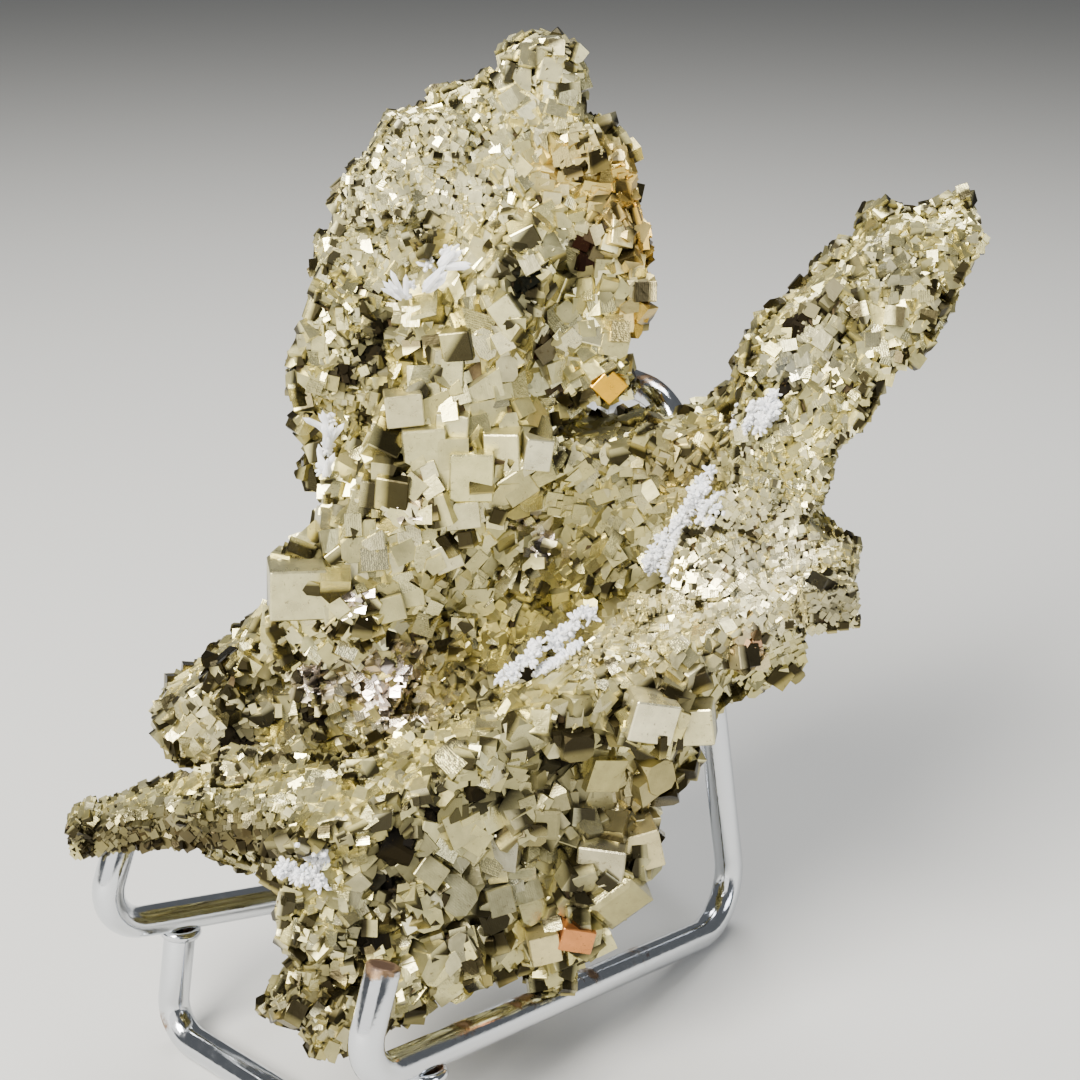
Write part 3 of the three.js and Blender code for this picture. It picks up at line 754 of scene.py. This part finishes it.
def spots_with_room(spots, spacing):
    """The numbers of the spots that are clear of the larger crystals and of each other."""
    held, reaches = tree_of(np.concatenate(taken_spots)), np.concatenate(taken_reach)
    kept, cells = [], {}
    for index, spot in enumerate(spots):
        _, near, away = held.find(spot)
        if away < reaches[near]:
            continue
        x, y, z = (int(v) for v in spot // spacing)
        around = [cells.get((x + i, y + j, z + k)) for i, j, k in CELLS_AROUND]
        others = [spots[other] for other in around if other is not None]
        if any(np.sum((other - spot) ** 2) < spacing**2 for other in others):
            continue
        cells[(x, y, z)] = index
        kept.append(index)
    return kept


def grown_crystals(spots, normals, order, ledges, size):
    """Places, turns, sizes, lie, depths, colours and roughness of one class of crystals."""
    count = len(spots)
    lie = lie_at(spots, normals)
    sizes = size * MM * dice.uniform(*SIZE_SPREAD, (count, 1)) * dice.uniform(*SIDE_SPREAD, (count, 3))
    sizes *= np.stack([1 + 0.9 * ledges, 1 - 0.35 * ledges, np.ones(count)], 1)
    glitter = glitter_at(spots) * (size < GLITTER_LARGEST)
    clustered = glitter > GLITTER_SET
    faced = np.where(clustered[:, None], np.array(FLASH), lie)
    turns = crystal_turns(spots, faced, np.maximum(order, GLITTER_ORDER * clustered), ledges)
    sunk = size * MM * dice.uniform(0.3 - 0.04 * order, 0.48 - 0.06 * order)
    # At the rims, where the rock turns away from its lie, they are sunk deeper
    sunk *= 1.4 - 0.4 * np.clip(np.einsum("ni,ni->n", normals, lie), 0, 1)
    tones, pitted = brass_colours(spots)
    # Painted shade: crystals that face down are made darker and browner
    under = np.clip(0.12 - lie[:, 2] * 1.4, 0, 1)[:, None]
    tones *= 1 - under * np.array(UNDERSIDE_SHADE)
    # Painted highlight: the crystals in the glitter clusters are paled towards white-pink
    tones += (np.array(GLINT_HIGHLIGHT_TONE) - tones) * glitter[:, None] * GLINT_HIGHLIGHT_COVER
    rough = dice.uniform(*ROUGHNESS_SPREAD, count) * (1 - 0.5 * glitter) + 0.5 * pitted
    return spots - lie * sunk[:, None], turns, sizes, lie, sunk, tones, rough


for size, tries, habits in CLASSES:
    spots, normals = points_on_rock(tries)
    wanted, order, ledges = wanted_at(spots, size)
    tried = [values[wanted] for values in (spots, normals, order, ledges)]
    kept = spots_with_room(tried[0], size * MM * SPACING)
    tried = [values[kept] for values in tried]
    made = grown_crystals(*tried, size)
    which = dice.integers(len(habits), size=len(kept))
    for number, habit in enumerate(habits):
        laid.append((habit, *[values[which == number] for values in made]))
    taken_spots.append(tried[0])
    taken_reach.append(made[2].mean(1) * CLASS_REACH)

# The crust is cut into pieces by the blade it is on
BLADES = {
    "pyrite_crust_sail": lambda x, y, z: (z > 86) & (x < 20),
    "pyrite_crust_arm": lambda x, y, z: (x >= 20) & (z > 72),
    "pyrite_crust_lobe": lambda x, y, z: (x < -14) & (z > 44 + (x + 40) * 0.1) & (z <= 86) & (y > -13),
    "pyrite_crust_hollow": lambda x, y, z: (y > -9 + 0.1 * x) & (z > 40),
    "pyrite_crust_ridge": lambda x, y, z: z > 41 + 0.3 * x,
    "pyrite_crust_keel": lambda x, y, z: z > -1,
}
# A crystal that would leave the model's box is left out
BOX_MARGIN = 0.02 * MM
low, high = np.array(cad_low) + BOX_MARGIN, np.array(cad_high) - BOX_MARGIN
crusts = {name: [] for name in BLADES}
for habit, places, turns, sizes, *rest in laid:
    reach = np.abs(turns) @ (sizes[:, :, None] / 2)
    free = np.all((places - reach[:, :, 0] > low) & (places + reach[:, :, 0] < high), axis=1)
    x, y, z = (places / MM).T
    for name, test in BLADES.items():
        mine = free & test(x, y, z)
        free &= ~mine
        made = [values[mine] for values in (places, turns, sizes, *rest)]
        crusts[name].append((habit, *made))
for name, groups in crusts.items():
    crust = join_crystals(name, groups, crystal_face)
    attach(crust, "root")


# Quartz druses
# Small milky quartz crystals in the hollows of the pyrite, grown last and standing on it: six-sided
# prisms with pointed ends. In the crusts they are short and crowded. In the sprays they are flat
# blades that fan out like a feather.

# Milky quartz: white, glossy, lit a little from within.
milky_quartz, tree, out = new_finish("milky_quartz")
place = add(tree, "ShaderNodeTexCoord")
cloud = noise(tree, place, 500.0, 3.0)
quartz_shader = add(
    tree,
    "ShaderNodeBsdfPrincipled",
    [
        ("Roughness", 0.32),
        ("IOR", 1.54),
        ("Subsurface Weight", 0.3),
        ("Subsurface Radius", (0.8, 0.85, 1.0)),
        ("Subsurface Scale", 0.0008),
    ],
    [("Base Color", ramp(tree, cloud, (0.3, "#DEE2E8"), (0.6, "#FAFAFB")))],
)
tree.links.new(quartz_shader.outputs["BSDF"], out.inputs["Surface"])


def quartz_prism():
    """A six-sided prism along Z, 1 thick and 1 long, with pointed ends."""
    shape = bmesh.new()
    bmesh.ops.create_cone(shape, cap_ends=True, segments=6, radius1=0.5, radius2=0.44, depth=0.6)
    for face in [f for f in shape.faces if len(f.verts) == 6]:
        way = 1 if face.calc_center_median().z > 0 else -1
        tip = bmesh.ops.poke(shape, faces=[face])["verts"][0]
        tip.co.z += 0.2 * way
    return mesh_of("quartz_prism", shape)


HABITS["quartz"] = habit_arrays(quartz_prism())

# Rows of crowded crystals: both ends in the photograph's frame, how far they spread, the lumps that
# they crowd in, and how many crystals are in a lump
CRUSTS = {
    "quartz_arm_patch": ((28, -1, 87), (30, 1, 91), 1.2, 8, 24),
    "quartz_saddle_crust": ((22, -2, 81), (14, 1, 66), 1.7, 22, 26),
    "quartz_ridge_crust": ((-5, -15, 58), (7, -6, 64), 1.6, 18, 24),
    "quartz_keel_patch": ((-31, -34, 42.4), (-26, -33, 40.4), 1.4, 9, 30),
}
# Sprays of blades: the row, and the fans, each with its foot, its middle direction and its blades
SPRAYS = {
    "quartz_upper_spray": (
        ((-18, 6, 102), (-11, 8, 108)),
        [((-17.5, 4.6, 102.6), (-0.5, -0.3, 0.8), 9), ((-14.5, 5, 103.5), (0.75, -0.3, 0.7), 12)]
        + [((-12.5, 5.4, 106.5), (0.9, -0.25, 0.45), 8)],
    ),
    "quartz_left_spray": (
        ((-28, 1, 80), (-27, 2, 88)),
        [((-27.6, -0.6, 80.5), (0.1, -0.3, 1), 9), ((-27.3, -0.2, 84), (0.3, -0.3, 1), 11)]
        + [((-27.2, 0, 86), (-0.6, -0.3, 0.7), 7)],
    ),
}
BLADE = (0.9, 0.34, 4.2)  # width, thickness and length in millimetres
FAN_SPREAD = (0.55, 0.2, 0.55)  # across, towards the show side, and up


def druse_turns(ways, beside):
    """Turns that set each prism along its way, and its width square to the direction beside it."""
    side = unit(np.cross(ways, beside))
    return np.stack([side, np.cross(ways, side), ways], 2)


def grow_druse(name, groups):
    """A druse from groups of (places, turns, sizes), in place of its plain solid."""
    crystals = []
    for places, turns, sizes in groups:
        count = len(places)
        ways, depths = turns[:, :, 2], np.zeros(count)
        crystals.append(
            ("quartz", places, turns, sizes, ways, depths, np.ones((count, 3)), np.ones(count))
        )
    druse = join_crystals(name + "_crystals", crystals, milky_quartz)
    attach(druse, "root")
    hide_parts(name)


def crowded(start, end, spread, lumps, crowd):
    """Short crystals that crowd in lumps along a row."""
    start, end = np.array(corner(start)), np.array(corner(end))
    shares = (np.arange(lumps)[:, None] + dice.random((lumps, 1))) / lumps
    strays = random_axes(lumps) * spread * MM * dice.random((lumps, 1))
    middles = start + shares * (end - start) + strays
    middles = np.repeat(middles, crowd, axis=0)
    girth = np.repeat(dice.uniform(0.6, 1.3, lumps), crowd)
    count = lumps * crowd
    out = unit(random_axes(count) + np.array([0, -0.35, 0.2]))
    places = middles + out * (girth * MM * dice.random(count) ** 0.5)[:, None]
    lengths = MM * dice.uniform(0.6, 1.4, count)
    thick = MM * dice.uniform(0.3, 0.7, count)
    return places, druse_turns(out, random_axes(len(out))), np.stack([thick, thick, lengths], 1)


COATING_LIFT = 0.8 * MM  # the coating's height above the rock, on the crust there
PATCH_PITCH = 1.1  # millimetres of the row for each patch of the coating


def coating(start, end, width, count):
    """Small crystals that coat the pyrite in overlapping patches along a row."""
    start, end = np.array(corner(start)), np.array(corner(end))
    length = np.linalg.norm(end - start)
    along = np.clip((corners.mean(1) - start) @ (end - start) / length**2, 0, 1)
    away = np.linalg.norm(corners.mean(1) - start - along[:, None] * (end - start), axis=1)
    spots, normals = points_on_rock(count * 6, np.where(away < (width + 5) * MM, face_areas, 0))
    patches_in_row = int(length / MM / PATCH_PITCH) + 2
    shares = dice.random((patches_in_row, 1))
    middles = start + shares * (end - start) + random_axes(patches_in_row) * width * 0.55 * MM
    reach = width * MM * dice.uniform(0.35, 0.95, patches_in_row)
    off = np.linalg.norm(spots[:, None] - middles[None], axis=2) / reach
    near = np.flatnonzero(off.min(1) < dice.random(len(spots)) ** 0.35)[:count]
    lie = lie_at(spots[near], normals[near])
    out = unit(lie + random_axes(len(near)) * 0.7)
    lengths = MM * dice.uniform(0.5, 1.5, len(near))
    thick = MM * dice.uniform(0.3, 0.75, len(near))
    places = spots[near] + lie * COATING_LIFT + out * (lengths * 0.2)[:, None]
    return places, druse_turns(out, random_axes(len(out))), np.stack([thick, thick, lengths], 1)


# How wide the lumps and the coating are, in the row's spread, and how many crystals coat each lump
LUMPS_WIDTH, COATING_WIDTH, COATING_CROWD = 0.6, 2.3, 110
for name, (start, end, spread, lumps, crowd) in CRUSTS.items():
    heaped = crowded(start, end, spread * LUMPS_WIDTH, lumps, crowd)
    coated = coating(start, end, spread * COATING_WIDTH, COATING_CROWD * lumps)
    grow_druse(name, [heaped, coated])

for name, ((start, end), fans) in SPRAYS.items():
    groups = [crowded(start, end, 0.8, 5, 12)]
    for foot, middle, blades in fans:
        ways = unit(np.array(middle) + random_axes(blades) * np.array(FAN_SPREAD))
        grown = np.array(BLADE) * MM * dice.uniform(0.55, 1.1, (blades, 1))
        feet = np.array(corner(foot)) + random_axes(blades) * 0.5 * MM
        # The blades lie in the plane of the fan, which faces the show side
        turns = druse_turns(ways, np.array([0.0, 1.0, 0.0]))
        groups.append((feet + ways * grown[:, 2:] * 0.42, turns, grown))
    grow_druse(name, groups)


# Frame of the stand
# One length of 4.5 mm steel wire, bent cold and chromed: hook, rail, arch, rail, hook. The ends are
# sheared, and their bare steel has rusted. The plating is dull brown along the right rail.

WIRE = 2.14 * MM  # the radius to the flats of the wire's ten-sided solid, so that it stays inside
HOOK_BEND, REAR_BEND, FOOT_BEND = 6 * MM, 8 * MM, 5 * MM
WIRE_SIDES, BEND_STEPS, STRAIGHT_STEP = 24, 12, 6 * MM
SHEARED_EDGE = 0.35 * MM  # how far the rims of the cut ends are worn
LEFT_SIDE = [(-54.8, -14.5, 35), (-58.5, -18, 23), (14, 44, -0.4), (9, 33.5, 84)]
RIGHT_SIDE = [(-18, -45.2, 36.5), (-21.5, -49.6, 23), (30.3, 19.4, -0.4), (19, 18.5, 84)]


def edges_of(parts):
    """The edges among the parts that an operator made."""
    return [part for part in parts if isinstance(part, bmesh.types.BMEdge)]


def push(shape, front, way):
    """Draws the open end of the wire straight along the way, in steps, and returns its new edges."""
    steps = max(1, int(way.length / STRAIGHT_STEP))
    for _ in range(steps):
        grown = bmesh.ops.extrude_edge_only(shape, edges=front)["geom"]
        verts = [part for part in grown if isinstance(part, bmesh.types.BMVert)]
        bmesh.ops.translate(shape, verts=verts, vec=way / steps)
        front = [edge for edge in edges_of(grown) if all(v in verts for v in edge.verts)]
    return front


def close_ends(shape, worn):
    """Caps the wire's two ends and rounds their rims."""
    bmesh.ops.remove_doubles(shape, verts=shape.verts, dist=1e-7)
    rims = [e for e in shape.edges if e.is_boundary]
    caps = bmesh.ops.holes_fill(shape, edges=rims, sides=WIRE_SIDES)["faces"]
    rims = [e for cap in caps for e in cap.edges]
    bmesh.ops.bevel(
        shape, geom=rims, offset=worn, segments=2, profile=0.5, affect="EDGES", material=-1
    )
    bmesh.ops.recalc_face_normals(shape, faces=shape.faces)


def bend_wire(name, stops, worn):
    """Wire drawn through the stops, each (corner, bend radius), as a bender makes it: straight
    lengths pushed out, and bends turned about a pin."""
    shape = bmesh.new()
    here = stops[0][0]
    way = (stops[1][0] - here).normalized()
    stand = Matrix.Translation(here) @ way.to_track_quat("Z", "Y").to_matrix().to_4x4()
    bmesh.ops.create_circle(shape, segments=WIRE_SIDES, radius=WIRE, matrix=stand)
    front = list(shape.edges)
    for (last, _), (at, radius), (following, _) in zip(stops, stops[1:], stops[2:]):
        before, after = (last - at).normalized(), (following - at).normalized()
        half = before.angle(after) / 2
        lead = radius / math.tan(half)
        bend_start, bend_end = at + before * lead, at + after * lead
        front = push(shape, front, bend_start - here)
        pin = at + (before + after).normalized() * (radius / math.sin(half))
        spun = bmesh.ops.spin(
            shape,
            geom=front,
            cent=pin,
            axis=(bend_start - pin).cross(bend_end - pin).normalized(),
            angle=math.pi - 2 * half,
            steps=BEND_STEPS,
        )
        front = edges_of(spun["geom_last"])
        here = bend_end
    push(shape, front, stops[-1][0] - here)
    close_ends(shape, worn)
    mesh = mesh_of(name, shape)
    mesh.polygons.foreach_set("use_smooth", [len(p.vertices) == 4 for p in mesh.polygons])
    return in_scene(name, mesh)


# Chromed steel: a mirror with fine scratches, browned in places and rusted where the steel is bare.
chromed_wire, tree, out = new_finish("chromed_steel_wire")
place = add(tree, "ShaderNodeTexCoord")
RUST_PLACES = [  # place in the photograph's frame, reach in millimetres, strength
    ((-18, -45.2, 37.5), 3.5, 1.0),
    ((-54.8, -14.5, 36), 3.0, 1.0),
    ((-51.5, -11, 4), 3.6, 0.55),
    ((-48.6, -9.6, 17.6), 2.2, 0.5),
    ((-13.4, -39.6, 17.4), 2.6, 0.55),
    ((14, 26, 86), 9.0, 0.42),
    ((-10, -34, 21), 5.0, 0.42),
    ((-2, -24, 18), 5.0, 0.5),
    ((6, -13, 14), 6.0, 0.42),
    ((14, -3, 10), 5.0, 0.38),
]
blotches = noise(tree, place, 330.0, 6.0, 0.7)
rusted = []
for spot, reach, strength in RUST_PLACES:
    away = add(
        tree,
        "ShaderNodeVectorMath",
        [("operation", "DISTANCE"), (1, corner(spot))],
        [(0, place.outputs["Object"])],
    )
    rusted.append(
        mapped(tree, away.outputs["Value"], reach * MM, reach * 0.35 * MM, 0.0, strength)
    )
worst = rusted[0]
for level in rusted[1:]:
    larger = add(tree, "ShaderNodeMath", [("operation", "MAXIMUM")], [(0, worst), (1, level)])
    worst = larger.outputs["Value"]
rust_level = scaled(tree, blotches, 1.5, worst)
rust_mask = mapped(tree, rust_level, 1.05, 1.5, 0.0, 1.0)
rust_colour = ramp(tree, rust_mask, (0.0, "#D5D8DC"), (0.4, "#94795C"), (1.0, "#3A2416"))
scuff_level = mapped(tree, noise(tree, place, 900.0, 4.0), 0.4, 0.75, 0.07, 0.22)
wire_shader = add(
    tree,
    "ShaderNodeBsdfPrincipled",
    links=[
        ("Base Color", rust_colour),
        ("Metallic", mapped(tree, rust_mask, 0.45, 0.9, 1.0, 0.1)),
        ("Roughness", scaled(tree, rust_mask, 0.5, scuff_level)),
        ("Normal", bumped(tree, rust_level, 0.3, 0.0001)),
    ],
)
tree.links.new(wire_shader.outputs["BSDF"], out.inputs["Surface"])

bends = [0, HOOK_BEND, REAR_BEND, REAR_BEND]
frame_stops = [(corner(p), r) for p, r in zip(LEFT_SIDE, bends)]
frame_stops += [(corner(p), r) for p, r in reversed(list(zip(RIGHT_SIDE, bends)))]
stand_frame = bend_wire("stand_frame_wire", frame_stops, SHEARED_EDGE)
stand_frame.data.materials.append(chromed_wire)
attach(stand_frame, "root")
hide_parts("stand_frame")


# Foot of the stand
# A shorter length of the same wire, bent to a U and butt-welded to the underside of both rails
# before plating, with a small bead of weld round each joint.

FOOT_SETBACK = 13 * MM
FOOT_CORNERS = [(-51.5, -11, 2.2), (-14.5, -42.5, 2.2)]
WELD, WELD_DROP = 0.75 * MM, 0.25 * MM  # the bead's thickness, and how far it is below the rail
WELDED_EDGE = 0.1 * MM


def foot_top(side, foot):
    """Where the foot's leg meets the rail's centre line, and the leg's direction down."""
    hook, rear = corner(side[1]), corner(side[2])
    joint = hook + (rear - hook).normalized() * FOOT_SETBACK
    return joint, (corner(foot) - joint).normalized()


tops = [foot_top(LEFT_SIDE, FOOT_CORNERS[0]), foot_top(RIGHT_SIDE, FOOT_CORNERS[1])]
foot_stops = [
    (tops[0][0] + tops[0][1] * WIRE, 0),
    (corner(FOOT_CORNERS[0]), FOOT_BEND),
    (corner(FOOT_CORNERS[1]), FOOT_BEND),
    (tops[1][0] + tops[1][1] * WIRE, 0),
]
stand_foot = bend_wire("stand_foot_wire", foot_stops, WELDED_EDGE)
bm = bmesh.new()
bm.from_mesh(stand_foot.data)
for joint, down in tops:
    seat = Matrix.Translation(joint + down * (WIRE + WELD_DROP))
    seat = seat @ down.to_track_quat("Z", "Y").to_matrix().to_4x4()
    beside = seat @ Matrix.Translation((WIRE, 0, 0)) @ Matrix.Rotation(math.pi / 2, 4, "X")
    ring = bmesh.ops.create_circle(bm, segments=8, radius=WELD, matrix=beside)
    bead = list(dict.fromkeys(e for v in ring["verts"] for e in v.link_edges))
    turn = {"cent": seat.translation, "axis": down, "angle": 2 * math.pi, "steps": 32}
    bmesh.ops.spin(bm, geom=bead, use_merge=True, **turn)
bmesh.ops.remove_doubles(bm, verts=bm.verts, dist=1e-7)
bmesh.ops.recalc_face_normals(bm, faces=bm.faces)
bm.to_mesh(stand_foot.data)
bm.free()
stand_foot.data.polygons.foreach_set("use_smooth", [True] * len(stand_foot.data.polygons))
stand_foot.data.materials.append(chromed_wire)
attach(stand_foot, "root")
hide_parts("stand_foot")


# Studio
# A plain pale floor, a soft box above and to the left, a wide weak one in front, weaker ones at the
# right and above, and the camera.

bm = bmesh.new()
bmesh.ops.create_grid(bm, x_segments=1, y_segments=1, size=2.5)
studio_floor = in_scene("studio_floor", mesh_of("studio_floor", bm))
floor_paint, tree, out = new_finish("pale_matt_floor")
floor_shader = add(
    tree, "ShaderNodeBsdfPrincipled", [("Base Color", srgb("#C6C6C3")), ("Roughness", 0.8)]
)
tree.links.new(floor_shader.outputs["BSDF"], out.inputs["Surface"])
studio_floor.data.materials.append(floor_paint)


def soft_box(name, spot, target, size, power, colour):
    """A rectangular lamp at the spot that faces the target."""
    lamp = bpy.data.lights.new(name, "AREA")
    lamp.shape = "RECTANGLE"
    lamp.size, lamp.size_y = size
    lamp.energy = power
    lamp.color = srgb(colour)[:3]
    box = in_scene(name, lamp)
    box.location = spot
    box.rotation_euler = (Vector(spot) - Vector(target)).to_track_quat("Z", "Y").to_euler()


middle = (0, 0, 0.07)
soft_box("key", (-0.3, -0.4, 0.55), middle, (0.34, 0.34), 16.0, "#FFFBF4")
soft_box("front", (-0.4, -0.8, 0.3), middle, (1.2, 0.8), 5.0, "#FFFCF6")
soft_box("fill", (0.55, -0.35, 0.3), middle, (0.25, 0.35), 1.8, "#F2F5FF")
soft_box("top", (0.05, 0.25, 0.65), middle, (0.4, 0.25), 4.0, "#FFFFFF")

world = bpy.data.worlds.new("studio")
world.use_nodes = True
world.node_tree.nodes["Background"].inputs["Color"].default_value = srgb("#C9CDD2")
world.node_tree.nodes["Background"].inputs["Strength"].default_value = 0.23
bpy.context.scene.world = world

# The photograph was taken 22 degrees downwards, with a lens of 1851 pixels on a 1080 pixel frame
SENSOR = 36  # millimetres
lens = bpy.data.cameras.new("camera")
lens.sensor_width = SENSOR
lens.lens = 1851 / 1080 * SENSOR
lens.clip_start = 0.01
camera = in_scene("camera", lens)
camera.location = corner((0, -225, 162))
camera.rotation_euler = (math.radians(90 - 22), 0, 0)
bpy.context.scene.camera = camera
